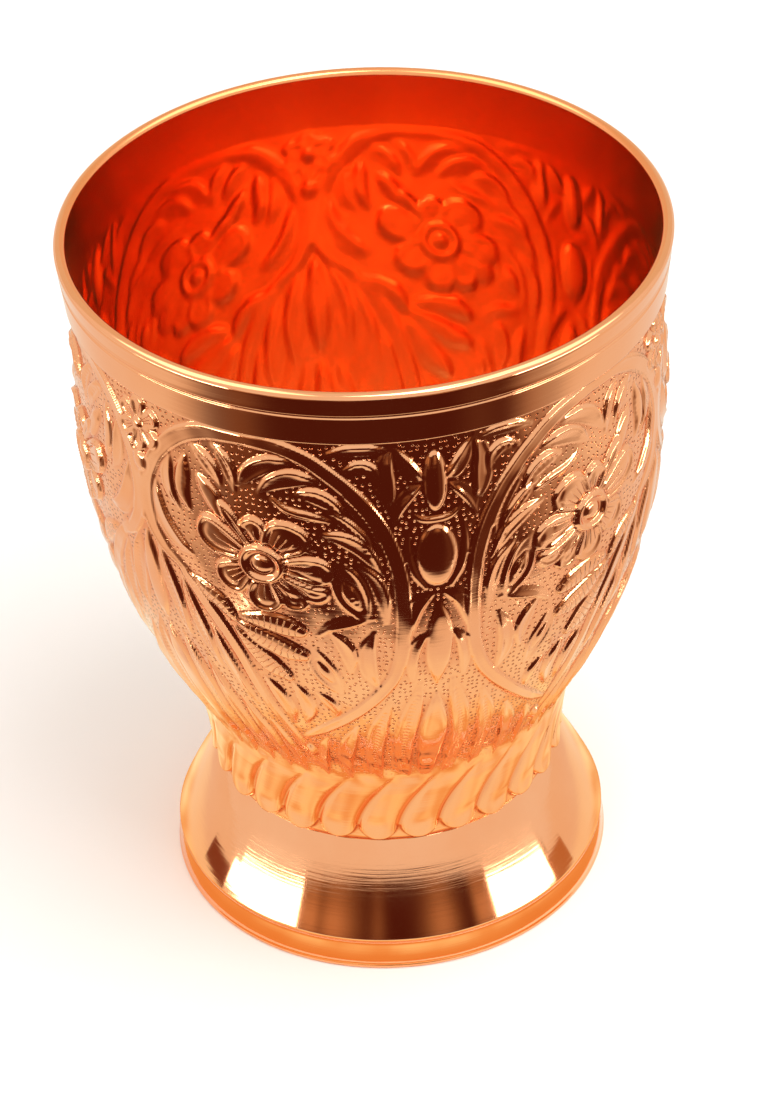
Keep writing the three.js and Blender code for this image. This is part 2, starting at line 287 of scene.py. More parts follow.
# Stems: the one that crosses under each large flower, and the scroll that rings it and runs on down.
STEMS = [
    [(53.4, 70.6, 0.5), (48.8, 66.6, 0.95), (45, 62.6, 1), (41.8, 58.2, 1), (39.3, 53.2, 0.95),
     (37.2, 48, 0.9), (35.3, 43.5, 0.85), (33.3, 38.5, 0.75), (31.5, 33, 0.3)],
    [(51.4, 68.9, 0.5), (55.7, 71.3, 0.95), (58.2, 74.2, 1.1), (59.2, 77.4, 1.15), (58.6, 80.8, 1.15),
     (56.4, 84.3, 1.1), (53.2, 87.4, 1.1), (49, 89.9, 1.1), (43.9, 91.4, 1.05), (37.9, 91.9, 1),
     (30.9, 91.6, 1), (24.4, 90.3, 1), (19, 87.9, 1), (14.6, 84.8, 1), (11.3, 81.4, 1),
     (9, 78, 1), (7.6, 74.5, 0.95), (7, 71, 0.95), (6.8, 67, 0.9), (7, 63, 0.9),
     (7.6, 59, 0.9), (9.6, 54.6, 0.9), (13.9, 50.3, 0.9), (19.2, 46.6, 0.85), (25.4, 43.2, 0.8),
     (31.2, 40.4, 0.4)],
]

# Hollow crescent leaves that curl off the stems, round the tulip and on the two mirror axes.
BLADES = [
    [(56.2, 81.5, 0.2), (56.3, 78.6, 1.05), (55.1, 75.7, 1.4), (52.3, 73.3, 1.3), (48.2, 71.9, 0.3)],
    [(52.2, 86.4, 0.2), (53, 83.2, 1), (52.5, 80.7, 0.95), (50.4, 78.6, 0.25)],
    [(46.8, 88.9, 0.3), (44.4, 87.7, 0.95), (42.4, 86.2, 0.9), (40.9, 84.2, 0.25)],
    [(42.2, 90, 0.3), (39.9, 88.3, 0.9), (38.5, 86.2, 0.85), (37.9, 83.9, 0.25)],
    [(36.9, 84.9, 0.3), (34.4, 87.2, 1.1), (30.8, 88.7, 1.15), (26.2, 89.3, 0.35)],
    [(32.7, 84.6, 0.3), (29.7, 86.3, 1.05), (26.1, 87.1, 1.15), (21.8, 87, 0.35)],
    [(25.6, 84.9, 0.3), (22.4, 84.9, 1.05), (19.5, 83.9, 1), (17.2, 82, 0.3)],
    [(17.4, 85, 0.25), (14.6, 82.9, 0.85), (12.4, 80.2, 0.9), (11, 76.8, 0.25)],
    [(20.2, 82.6, 0.25), (16.8, 80.9, 0.8), (13.9, 78.4, 0.8), (12, 75.2, 0.25)],
    [(21.2, 79.2, 0.3), (17.1, 78.4, 1), (13.3, 76.4, 1), (10.5, 73, 0.3)],
    [(15, 74.6, 0.3), (12, 72.3, 0.85), (10.5, 69.3, 0.85), (10.1, 65.4, 0.3)],
    [(12.4, 66.3, 0.3), (16.8, 65.7, 0.8), (20.6, 64.7, 0.75), (23.4, 62.8, 0.25)],
    [(20.8, 63.4, 0.3), (18.8, 61.6, 0.95), (17.7, 59.2, 0.95), (17.7, 56.4, 0.3)],
    [(12.6, 63.8, 0.3), (14.3, 60.4, 1.05), (14.3, 56.8, 1.05), (12.6, 53.2, 0.3)],
    [(30, 53.2, 0.3), (28.4, 50.4, 1.1), (28, 47.6, 1.1), (29.2, 44.6, 0.3)],
    [(36, 53, 0.3), (34, 50.4, 1.15), (32.6, 47.4, 1.1), (32.4, 44, 0.3)],
    [(25.2, 51.6, 0.3), (23.2, 50, 0.9), (22, 48.4, 0.8), (21.8, 46.6, 0.25)],
    [(57.2, 70.8, 0.3), (55.8, 66.5, 1.3), (54.4, 62, 1.4), (53.6, 56.6, 0.3)],
    [(51.8, 67.4, 0.3), (50.2, 62.5, 1.1), (48.8, 58, 1.2), (47.4, 52.6, 0.3)],
    [(46.4, 60.4, 0.3), (44.9, 55.5, 1.1), (43, 51, 1.15), (40.6, 46.4, 0.3)],
    [(56.4, 56, 0.3), (54.9, 49.5, 1.4), (53.8, 43, 1.5), (53.9, 34.5, 1.3), (55.4, 27.5, 0.5)],
    [(50.9, 52.8, 0.3), (49.2, 46, 1.35), (47.8, 39.5, 1.45), (47.9, 33, 1.2), (49.3, 27, 0.5)],
    [(44.9, 46.8, 0.3), (42.9, 41, 1.25), (41.8, 36, 1.3), (42, 31.5, 1.1), (43.4, 26.5, 0.5)],
    [(38.9, 42.6, 0.3), (37.9, 38.2, 1), (37.1, 34.2, 1.1), (36.9, 30.5, 0.9), (37.8, 26.5, 0.4)],
    [(3.4, 53.4, 0.3), (5.3, 47, 1.35), (6.8, 40, 1.5), (6.8, 33.5, 1.3), (5.4, 27, 0.5)],
    [(10.2, 49.4, 0.3), (12.6, 43.5, 1.35), (14.2, 37.5, 1.4), (14.5, 32, 1.2), (13.3, 26.8, 0.5)],
    [(17.8, 44, 0.3), (20.4, 39.4, 1.25), (22.2, 35, 1.25), (22.7, 31, 1.1), (21.8, 26.6, 0.5)],
    [(25.6, 40.4, 0.3), (27.9, 36.8, 1), (29.3, 33.2, 1.05), (29.9, 30, 0.9), (29.3, 26.5, 0.4)],
    [(7.9, 92.2, 0.25), (9.3, 89.2, 0.95), (9.3, 86, 1.2), (8.1, 82.4, 0.3)],
    [(7.4, 91.6, 0.2), (5.7, 89.2, 0.95), (3.9, 87.4, 0.9), (2.2, 86.3, 0.2)],
    [(2.4, 85.9, 0.2), (4.9, 84.9, 0.8), (6.9, 83, 0.75), (7.7, 80.6, 0.2)],
    [(19.4, 90.9, 0.3), (15.8, 91.5, 0.7), (12.2, 91.6, 0.75), (8.8, 91.4, 0.25)],
    [(16.6, 88.6, 0.25), (13.6, 89.3, 0.75), (11.6, 88.6, 0.8), (10.7, 86.6, 0.25)],
    [(3.4, 76.8, 0.2), (5.6, 75.9, 0.6), (7.4, 74.2, 0.6), (8.2, 71.6, 0.25)],
    [(1.2, 69.4, 0.25), (4, 68.2, 0.95), (5.8, 65.4, 0.95), (6.4, 61.6, 0.25)],
    [(2.4, 62.8, 0.25), (4.6, 60.8, 0.85), (5.6, 57.8, 0.85), (5.4, 54.2, 0.25)],
]

# Wide leaves with a raised rim and a hollow middle.
DISHES = [
    [(19.3, 74.8, 0.3), (17.3, 72.2, 1.9), (15.9, 69.6, 2.05), (13.7, 65.9, 0.4)],
    [(24.6, 60.4, 0.3), (23.7, 57.9, 1.45), (22, 55.2, 1.6), (20.2, 52.2, 0.4)],
]

# Rounded leaves: inside the wide ones, on the axes, and in the fold beside the flower.
LEAVES = [
    [(17.7, 71.9, 0.3), (16.3, 70, 0.95), (14.9, 68, 0.35)],
    [(23.7, 57.9, 0.3), (22.6, 56.2, 0.65), (21.6, 54.6, 0.3)],
    [(48.6, 86.8, 0.3), (49.2, 84.2, 1.05), (49.3, 81.8, 1), (47.9, 79.2, 0.3)],
    [(45.6, 84.6, 0.4), (43.6, 82.9, 1.1), (41.8, 81, 1.1), (40.4, 79, 0.4)],
    [(30.2, 83.9, 0.25), (27.4, 82.6, 0.5), (23.2, 81.9, 0.55), (19.7, 81.2, 0.25)],
    [(60, 72, 0.3), (60, 67, 1.5), (60, 62, 1.6), (60, 57.4, 0.3)],
    [(60, 56, 0.3), (60, 49.5, 1.9), (60, 42, 1.8), (60, 34, 1.2), (60, 27.5, 0.4)],
    [(0, 51, 0.3), (0, 44.5, 2), (0, 37.5, 2.1), (0, 31, 1.5), (0, 27, 0.5)],
    [(0, 67.4, 0.3), (0, 63.4, 1.5), (0, 58.6, 1.7), (0, 53.4, 0.3)],
]

# Leaves with fine lines across them: the fan beside the flower and the curled end of the scroll.
FANS = [
    [(49, 68.2, 0.4), (46, 66.9, 1.1), (43, 65.5, 1.3), (40.4, 63, 0.6)],
    [(40.2, 61.2, 0.6), (37.2, 58.6, 1.5), (34, 56.1, 1.8), (31, 54.5, 1)],
    [(39.4, 62.7, 0.6), (34.9, 61.2, 1.6), (30.6, 59.8, 1.8), (27, 59.2, 1.1)],
    [(38.4, 64.1, 0.6), (33.8, 64.3, 1.45), (29.8, 63.9, 1.6), (27, 63.3, 1)],
]

# Crescents that hold the tulip's bulb, and the collar above it.
RIDGES = [
    [(5.2, 79.6, 0.15), (5.3, 76.4, 0.4), (4.4, 73, 0.5), (2.4, 70.4, 0.25)],
    [(4.4, 82, 0.15), (2.6, 81, 0.4), (-0.6, 80.6, 0.45)],
]

# Rolled ends of the large flower's petals.
CURLS = [
    [(23.6, 74.4, 0.15), (21.4, 74.4, 0.25), (19.9, 73.2, 0.3), (20.6, 71.9, 0.25), (22.6, 71.8, 0.15)],
    [(29.4, 72, 0.2), (26.8, 70.3, 0.35), (24.6, 68.9, 0.38), (22, 69.1, 0.35), (20.7, 70.3, 0.3),
     (22, 71.3, 0.15)],
    [(25.2, 79.2, 0.15), (24, 77.9, 0.28), (24.9, 77, 0.25), (23.2, 76.4, 0.15)],
]

# Bosses: centre, half width, half height.
BOSSES = [
    ((0, 75.4), 2.5, 4.6),
    ((0, 86.4), 1.5, 4.4),
    ((60, 83), 1.3, 1.7),
    ((31, 36.5), 0.8, 1.6),
]

# The large flower's petals, from the lowest to the one on top of the others. Points of an outline are in
# millimetres to the right of the flower's centre and up from it.
PETALS = [
    [(-0.9, 1.8), (-2.5, 3.9), (-2.5, 5.8), (-1, 6.9), (0.6, 6.2), (0.9, 4.4), (0.1, 2.2)],
    [(0.9, -1.8), (2.9, -3.4), (5, -4.6), (5.4, -6.2), (4, -6.9), (2.4, -6.3), (0.5, -2.6)],
    [(-1.2, -1.6), (-1.8, -3.6), (-3, -5.2), (-4.9, -5), (-6.2, -3.4), (-6, -1.4), (-4.2, -0.4),
     (-2.2, -0.3)],
    [(0.1, 2), (0.3, 4.4), (1.5, 6.5), (3.5, 7), (5.5, 6.1), (6.4, 4.4), (5.7, 2.6), (3.8, 1.7),
     (1.8, 0.9)],
    [(-1.5, 0.6), (-3.8, -0.3), (-6.4, 0.1), (-8.2, 1.5), (-8.7, 3.4), (-7.7, 5.3), (-6, 5.2), (-3.8, 3.8),
     (-1.8, 2)],
    [(2, 0.6), (4.4, 1.7), (6.8, 1.9), (8.6, 0.9), (9, -1), (7.9, -2.4), (6, -2.4), (4, -1.5),
     (2, -0.7)],
    [(0.8, -1.9), (1.9, -4.2), (2.3, -6.1), (1, -7.5), (-1, -7.4), (-2.2, -5.8), (-1.9, -3.8),
     (-0.6, -2)],
    [(-1.4, 1.6), (-3, 3.5), (-4.7, 5.6), (-5.6, 8), (-4, 7.2), (-2.3, 4.9), (-0.8, 2.3)],
    [(1.8, -1), (4, -2), (6.4, -2.7), (8.2, -3.1), (8.3, -4.6), (6.7, -5.5), (4.6, -4.7), (2.6, -3.1),
     (1.2, -1.8)],
]

# One petal of the small flower, and the turns of all its petals in degrees.
BUD_PETAL = [(0.5, 0.3), (1.6, 1.05), (2.9, 1.3), (3.8, 0.65), (3.8, -0.65), (2.9, -1.3), (1.6, -1.05),
             (0.5, -0.3)]
BUD_TURNS = np.arange(30, 360, 60)

# Rows of punched dots along the spines of leaves and beside the stems.
DOT_ROWS = [
    [(47.8, 87.2), (48.2, 84.6), (48.4, 82.4), (47.4, 80.2)],
    [(46.2, 88.5), (44.3, 87.4), (42.6, 86)],
    [(41.9, 89.5), (39.9, 87.9), (38.6, 85.8)],
    [(25, 84.8), (22.4, 84.9), (19.6, 84), (18, 82.7)],
    [(16.9, 84.4), (14.5, 82.5), (12.5, 79.9), (11.6, 77.6)],
    [(19.4, 82.2), (16.7, 80.7), (14.1, 78.5), (12.8, 76.4)],
    [(17.4, 71.4), (16.3, 70), (15.1, 68.4)],
    [(15.8, 88.7), (13.6, 89.3), (12, 88.7)],
    [(8.8, 68), (8.8, 64), (9.4, 60.4)],
    [(11.4, 63), (11, 59.4), (11.8, 56)],
    [(44.4, 60), (43.2, 57), (41.6, 54)],
    [(56.4, 69), (55.4, 65.5), (54.4, 61.5), (54, 58.5)],
    [(51.4, 65.6), (50.2, 61.8), (49, 58), (48, 54.4)],
    [(55.9, 54), (54.6, 48.5), (53.8, 43), (53.9, 36.5)],
    [(4, 51.6), (5.6, 46), (6.7, 40), (6.7, 34)],
    [(10.8, 47.8), (12.8, 43), (14.1, 37.6), (14.3, 32.6)],
]

# The leaf tips that hang over the neck: their count round the cup, the azimuth of one, their lowest height,
# the rise of the notches between them, and their lean in degrees, which grows from the root height up.
TIPS = 27
TIP_AZIMUTH = 9.0
TIP_LOW = 17.9
TIP_NOTCH = 2.6
TIP_ROOT = 19.5
TIP_LEAN, TIP_LEAN_POWER = 8.0, 1.6

# The heights over which the tips melt into the wall, and over which the ornament comes up out of it.
TIP_FADE = (26.5, 33.0)
ORNAMENT_FADE = (27.0, 33.5)


def leaf_tips(azimuth, height):
    """How far the row of leaf tips stands above the neck at any place on it, in millimetres."""
    pitch = 360 / TIPS
    rise = np.clip((height - TIP_ROOT) / 8.0, 0, 1.8)
    local = (azimuth - TIP_AZIMUTH - TIP_LEAN * rise**TIP_LEAN_POWER) / pitch
    number = np.round(local)
    across = 2 * (local - number)
    turn = math.tau * number / TIPS
    low = TIP_LOW + 0.25 * np.sin(13 * turn) + TIP_NOTCH * (1 - np.sqrt(np.clip(1 - across**2, 0, 1)))
    depth_in = height - low
    parting = smoothstep(TIP_FADE[1], TIP_ROOT, height)
    hollow = bump(across, 0.2 * np.sin(4 * turn), 0.5) * bump(depth_in, 2.8, 1.5)
    form = 0.55 + 0.4 * (1 - across**2) * parting - 0.14 * hollow
    form -= 0.4 * parting * rims(across, 1, 0.18)
    return form * smoothstep(-0.1, 0.35, depth_in) * smoothstep(TIP_FADE[1], TIP_FADE[0], height)


def sector_relief():
    """The whole ornament of one sector, above the leaf tips."""
    relief = Relief()
    for strokes, lift, kind in ((BLADES, 0.44, "blade"), (DISHES, 0.42, "dish"), (LEAVES, 0.42, "leaf"),
                                (FANS, 0.5, "fan"), (RIDGES, 0.42, "ridge"), (STEMS, 0.45, "stem")):
        for points in strokes:
            relief.stroke(points, lift, kind)
    for centre, half_width, half_height in BOSSES:
        relief.boss(centre, half_width, half_height, 0.6)
    for petal in PETALS:
        relief.petal(FLOWER, petal, 0.55)
    for curl in CURLS:
        relief.stroke(curl, 0.75, "ridge")
    relief.hub(FLOWER, 2.45, 1.35, 0.6)
    for turn in np.radians(BUD_TURNS):
        turned = [(x * math.cos(turn) - z * math.sin(turn), x * math.sin(turn) + z * math.cos(turn))
                  for x, z in BUD_PETAL]
        relief.petal(SMALL_FLOWER, turned, 0.4)
    relief.boss(SMALL_FLOWER, 1.0, 1.0, 0.7)
    for row in DOT_ROWS:
        relief.beads(row)
    return relief


def soften(field, sigma):
    """A Gaussian blur whose width is in millimetres."""
    size = int(math.ceil(3 * sigma / CELL))
    kernel = np.exp(-0.5 * (np.arange(-size, size + 1) * CELL / sigma) ** 2)
    kernel /= kernel.sum()
    for axis, mode in enumerate(("edge", "reflect")):
        pad = [(size, size) if a == axis else (0, 0) for a in (0, 1)]
        padded = np.pad(field, pad, mode)
        field = np.apply_along_axis(lambda line: np.convolve(line, kernel, "valid"), axis, padded)
    return field


def hand_drift(azimuth, height, seed):
    """A slow wander of about one, that differs from sector to sector, as handwork does."""
    turn = np.radians(azimuth)
    return (np.sin(5 * turn + height * 0.11 + seed) + np.sin(11 * turn - height * 0.23 + 2.1 * seed)
            + np.sin(17 * turn + height * 0.31 + 3.7 * seed)) / 3


def sample(field, azimuth, height):
    """The field's value at any azimuth and height on the cup."""
    wander = WANDER_TURN * hand_drift(azimuth, height, 1.0)
    turn = (TULIP_AZIMUTH - azimuth + wander) % (2 * SECTOR)
    turn = np.where(turn > SECTOR, 2 * SECTOR - turn, turn)
    rise = height + WANDER_RISE * hand_drift(azimuth, height, 2.0) * smoothstep(92.5, 88.0, height)
    column = np.clip(turn / (CELL / DEGREE), 0, field.shape[1] - 1.001)
    row = np.clip((rise - RELIEF_LOW) / CELL, 0, field.shape[0] - 1.001)
    c0, r0 = column.astype(int), row.astype(int)
    fc, fr = column - c0, row - r0
    low = field[r0, c0] * (1 - fc) + field[r0, c0 + 1] * fc
    high = field[r0 + 1, c0] * (1 - fc) + field[r0 + 1, c0 + 1] * fc
    return low * (1 - fr) + high * fr


def resample(line, step):
    """The same line with points about step apart."""
    run = run_along(line)
    marks = np.linspace(0, run[-1], max(2, int(round(run[-1] / step)) + 1))
    return np.stack([np.interp(marks, run, line[:, axis]) for axis in (0, 1)], 1)


def arc(centre, radius, start, end, steps):
    """Points on an arc, from one angle to another in degrees."""
    angles = np.radians(np.linspace(start, end, steps + 1))
    return np.stack([centre[0] + radius * np.cos(angles), centre[1] + radius * np.sin(angles)], 1)


def normals_of(line):
    """Unit normals to the right of the line's direction, which is outwards on a rising line."""
    along = np.gradient(line, axis=0)
    along /= np.linalg.norm(along, axis=1, keepdims=True)
    return np.stack([along[:, 1], -along[:, 0]], 1)


def wall_line(offset=0.0):
    """The cup wall from the neck to the hem, moved outwards by offset."""
    below, above = near(WAIST, (-FLANK_SLOPE * NECK_HANDLE, -NECK_HANDLE),
                        (FLANK_SLOPE * FLANK_HANDLE, FLANK_HANDLE))
    neck = bezier([(NECK_RADIUS, CUP_BASE + NECK_CORNER), (NECK_RADIUS, NECK_UPRIGHT), below, WAIST], 60)
    flank = bezier([WAIST, above, (WALL_TOP + SHOULDER_SWELL, HEM_BOTTOM - SHOULDER_HANDLE),
                    (WALL_TOP, HEM_BOTTOM)], 160)
    line = np.vstack([neck, flank[1:]])
    return line + normals_of(line) * offset


def revolve(name, line, columns, shift=None, closed=False):
    """A body of revolution from a line of (radius, height). shift gives how far each point moves along its
    normal. Its first and last points are on the axis, unless the line is closed."""
    rows = len(line)
    normal = normals_of(line)
    moved = np.zeros((rows, columns)) if shift is None else shift
    radius = line[:, :1] + normal[:, :1] * moved
    height = line[:, 1:] + normal[:, 1:] * moved
    turn = np.radians(np.linspace(0, 360, columns, endpoint=False))
    points = np.stack([radius * np.sin(turn), -radius * np.cos(turn), height], -1)
    run = run_along(line)
    total = run[-1] + (np.hypot(*(line[0] - line[-1])) if closed else 0)
    if closed:
        coordinates = points.reshape(-1, 3)
        ring = np.arange(rows * columns).reshape(rows, columns)
        low, high = ring, np.roll(ring, -1, axis=0)
        v_low, v_high = run / total, np.append(run[1:], total) / total
    else:
        coordinates = np.vstack([points[1:-1].reshape(-1, 3), points[0, :1], points[-1, :1]])
        ring = np.arange((rows - 2) * columns).reshape(rows - 2, columns)
        low, high = ring[:-1], ring[1:]
        v_low, v_high = run[1:-2] / total, run[2:-1] / total
    after = np.roll(np.arange(columns), -1)
    quads = np.stack([low, low[:, after], high[:, after], high], -1).reshape(-1, 4)
    u_low = np.arange(columns) / columns
    u_high = (np.arange(columns) + 1) / columns
    corners = ((u_low, v_low), (u_high, v_low), (u_high, v_high), (u_low, v_high))
    quad_uv = np.stack([side for u, v in corners for side in np.broadcast_arrays(u, v[:, None])], -1)
    loops, uvs, sizes = [quads.ravel()], [quad_uv.reshape(-1, 2)], [np.full(len(quads), 4)]
    if not closed:
        u_mid = (u_low + u_high) / 2
        for first, second, centre, u_first, u_second, v_ring, v_centre in (
                (ring[0, after], ring[0], len(coordinates) - 2, u_high, u_low, run[1] / total, 0.0),
                (ring[-1], ring[-1, after], len(coordinates) - 1, u_low, u_high, run[-2] / total, 1.0)):
            fan_uv = np.broadcast_arrays(u_first, v_ring, u_second, v_ring, u_mid, v_centre)
            loops.append(np.stack([first, second, np.full(columns, centre)], 1).ravel())
            uvs.append(np.stack(fan_uv, 1).reshape(-1, 2))
            sizes.append(np.full(columns, 3))
    return build_mesh(name, coordinates * MM, np.concatenate(loops), np.concatenate(sizes), np.vstack(uvs))


def add_object(name, data):
    """A new object in the scene."""
    made = bpy.data.objects.new(name, data)
    bpy.context.scene.collection.objects.link(made)
    return made


def build_mesh(name, coordinates, loops, sizes, uvs):
    """A smooth-shaded mesh object from arrays, with its UV map."""
    mesh = bpy.data.meshes.new(name)
    mesh.vertices.add(len(coordinates))
    mesh.vertices.foreach_set("co", coordinates.astype(np.float32).ravel())
    mesh.loops.add(len(loops))
    mesh.loops.foreach_set("vertex_index", loops.astype(np.int32))
    mesh.polygons.add(len(sizes))
    starts = np.concatenate([[0], np.cumsum(sizes)[:-1]])
    mesh.polygons.foreach_set("loop_start", starts.astype(np.int32))
    mesh.update(calc_edges=True)
    layer = mesh.uv_layers.new(name="OFBake")
    layer.data.foreach_set("uv", uvs.astype(np.float32).ravel())
    mesh.shade_smooth()
    return add_object(name, mesh)


def add_attribute(piece, name, grid):
    """A float for each vertex of a revolved body that ends on the axis, for the material to read."""
    values = np.concatenate([grid[1:-1].ravel(), grid[0, :1], grid[-1, :1]])
    attribute = piece.data.attributes.new(name, "FLOAT", "POINT")
    attribute.data.foreach_set("value", values.astype(np.float32))


def cup_line():
    """The cup's closed outline, from the middle of its base round the lip to the middle of its floor,
    with a weight for the outer relief and one for the inner relief at each point."""
    floor_top = CUP_BASE + SHEET
    base_radius = NECK_RADIUS - NECK_CORNER
    base = resample(np.array([(0, CUP_BASE), (base_radius, CUP_BASE)], float), 1.5)
    turn_in = arc((base_radius, CUP_BASE + NECK_CORNER), NECK_CORNER, -90, 0, 4)[1:-1]
    wall = wall_line()
    split = np.searchsorted(wall[:, 1], TIP_FADE[0])
    wall = np.vstack([resample(wall[:split + 1], WALL_STEP / 2), resample(wall[split:], WALL_STEP)[1:]])
    hem = resample(hem_line(), HEM_STEP)
    inside = resample(wall_line(-SHEET)[::-1], INNER_STEP)
    inside = inside[inside[:, 1] > floor_top + FLOOR_CORNER]
    corner_centre = (inside[-1][0] - FLOOR_CORNER, floor_top + FLOOR_CORNER)
    floor_corner = arc(corner_centre, FLOOR_CORNER, 0, -90, 8)
    floor = resample(np.array([floor_corner[-1], (0, floor_top)]), 1.2)[1:]
    parts = [base, turn_in, wall, hem, inside, floor_corner, floor]
    line = np.vstack(parts)
    edges = np.cumsum([len(part) for part in parts])
    outer = np.zeros(len(line))
    outer[edges[1]:edges[2]] = smoothstep(HEM_BOTTOM, HEM_BOTTOM - 0.7, wall[:, 1])
    inner = np.zeros(len(line))
    inner[edges[3]:edges[4]] = (smoothstep(HEM_BOTTOM, HEM_BOTTOM - 2.5, inside[:, 1])
                                * smoothstep(CUP_BASE + 2.0, CUP_BASE + 8.0, inside[:, 1]))
    return line, outer, inner


def hem_line():
    """The folded hem's outer face, with its turned line, and the rounded lip over to the inside."""
    lip = (RIM_RADIUS - SHEET, CUP_TOP - SHEET)
    line_radius = RIM_RADIUS - HEM_DRAW_IN * HEM_LINE_DROP / HEM_DEPTH
    fold = near((HEM_OUTER, HEM_BOTTOM), (-0.3, 0.02), (-0.05, 0.12), (0.0, 0.35))
    turned = near((line_radius, HEM_LINE), (-0.06, -0.5), (-0.02, -0.3), (-0.2, -0.05), (-0.16, 0.05),
                  (0.06, 0.3), (0.02, 0.6))
    upper = near((RIM_RADIUS, lip[1]), (-0.13, -0.9), (-0.05, -0.3))
    return np.vstack([[(WALL_TOP, HEM_BOTTOM)], fold, turned, upper, arc(lip, SHEET, 0, 180, 24)])


def make_cup():
    """The cup: one sheet, embossed from inside, so its relief shows on both faces."""
    relief = sector_relief()
    line, outer, inner = cup_line()
    azimuth, height = np.meshgrid(np.linspace(0, 360, COLUMNS, endpoint=False), line[:, 1])
    crisp, soft, wide = (sample(soften(relief.lift, blur), azimuth, height) for blur in BLURS)
    above_tips = smoothstep(*ORNAMENT_FADE, height)
    tips = leaf_tips(azimuth, height)
    outer_lift = np.maximum(tips, crisp * above_tips)
    tremble = WAVER * hand_drift(azimuth * 3, height * 3, 5.0)
    tremble += BAND_WAVER * hand_drift(azimuth * 2, height * 6, 9.0) * bump(height, BAND_MIDDLE, BAND_WIDTH)
    shift = outer[:, None] * (outer_lift + tremble * above_tips)
    shift -= inner[:, None] * (soft * INNER_SHARE + tremble)
    cup = revolve("cup_embossed", line, COLUMNS, shift)
    ornament = outer[:, None] * above_tips
    around = ((1.5, 0.0), (-1.5, 0.0), (0.0, 0.6), (0.0, -0.6))
    wide_tips = sum(leaf_tips(azimuth + turn, height + rise) for turn, rise in around) / len(around)
    cavity = ornament * (crisp - wide) + outer[:, None] * (tips - wide_tips) - inner[:, None] * (soft - wide)
    past_lip = np.arange(len(line)) > np.argmax(line[:, 1])
    inside = np.broadcast_to(past_lip[:, None], cavity.shape)
    ground, lined, lines = (sample(field, azimuth, height)
                            for field in (relief.ground, relief.lined, relief.lines))
    punch = ornament * (ground * smoothstep(30.0, WAIST[1], height))
    for name, grid in (("cavity", cavity), ("inside", inside), ("punch", punch),
                       ("lined", ornament * lined), ("lines", lines)):
        add_attribute(cup, name, grid)
    return cup


def dome_line(offset=0.0):
    """The foot's dome leans in more and more, from its crisp edge up the flank and over the shoulder."""
    below, above = near(DOME_SHOULDER, (1.67, -2.88), (-0.69, 1.19))
    flank = bezier([EDGE, *near(EDGE, (-1.36, 3.04)), below, DOME_SHOULDER], 40)
    flare = near((FOOT_NECK, FOOT_TOP), (0.86, -1.07), (0.0, 0.0))
    shoulder = bezier([DOME_SHOULDER, above, *flare], 24)
    line = np.vstack([flank, shoulder[1:]])
    return line + normals_of(line) * offset


def make_foot():
    """The spun foot: band, crisp edge, dome and inner flange, as one closed ring."""
    band_inner = BAND_RADIUS - BAND_WALL
    seat_inner, seat = band_inner - SEAT_WIDTH, PLATE_HIGH.z
    flange_low = FOOT_TOP - FOOT_SHEET
    band = [(band_inner + 0.1, 0.0)]
    band += near((BAND_RADIUS, 0.0), (-0.3, 0.0), (-0.08, 0.08), (0.0, 0.3), (-0.03, 0.55), (-0.2, 0.8),
                 (-0.16, 1.1))
    band += near(EDGE, (-0.3, -0.95), (-0.28, -0.6), (-0.05, -0.3), (0.0, -0.12))
    flange = [(FLANGE_HOLE, FOOT_TOP), (FLANGE_HOLE, flange_low)]
    inside = dome_line(-FOOT_SHEET)[::-1]
    inside = inside[(inside[:, 1] < flange_low - 0.05) & (inside[:, 1] > EDGE[1] + 0.65)]
    ledge = [(seat_inner, EDGE[1] - FOOT_SHEET), (seat_inner, seat), (band_inner, seat), (band_inner, 0.1)]
    outline = np.vstack([band, dome_line(), flange, inside, ledge])
    return revolve("foot_spun", resample(outline, FOOT_STEP), FOOT_COLUMNS, closed=True)


def make_plate():
    """The flat disc that closes the foot, with two shallow stiffening rings turned into it."""
    radius = PLATE_HIGH.x
    low, high = PLATE_LOW.z, PLATE_HIGH.z
    line = resample(np.array([(0, low), (radius - 0.15, low), (radius, low + 0.15), (radius, high - 0.1),
                              (radius - 0.1, high), (0, high)]), 0.25)
    rings = sum(bump(line[:, 0], ring, 0.5) for ring in PLATE_RINGS)
    shift = -0.12 * rings * (line[:, 1] < low + 0.05)
    return revolve("plate_disc", line, FOOT_COLUMNS, np.repeat(shift[:, None], FOOT_COLUMNS, 1))


def make_fillet():
    """The bead of solder round the disc: a hollow fillet with a slightly uneven toe."""
    outer, top, low = SOLDER_HIGH.x, SOLDER_HIGH.z, SOLDER_LOW.z
    toe = near((outer, low), (0.0, 0.0), (-0.22, 0.34)) + near((outer, top), (-0.55, -0.2), (-1.2, 0.0))
    back = [(outer - 0.4, top), (outer, top), (outer, low + 0.4)]
    line = resample(np.vstack([spline(toe, 6)[::-1], back])[::-1], 0.12)
    azimuth = np.linspace(0, 2 * math.pi, FOOT_COLUMNS, endpoint=False)
    uneven = 0.03 * (np.sin(7 * azimuth) + np.sin(19 * azimuth + 1) + np.sin(31 * azimuth + 2))
    inside = ((line[:, 0] < outer - 0.05) & (line[:, 1] < top - 0.02))[:, None]
    return revolve("solder_fillet", line, FOOT_COLUMNS, -np.abs(uneven)[None, :] * inside, closed=True)


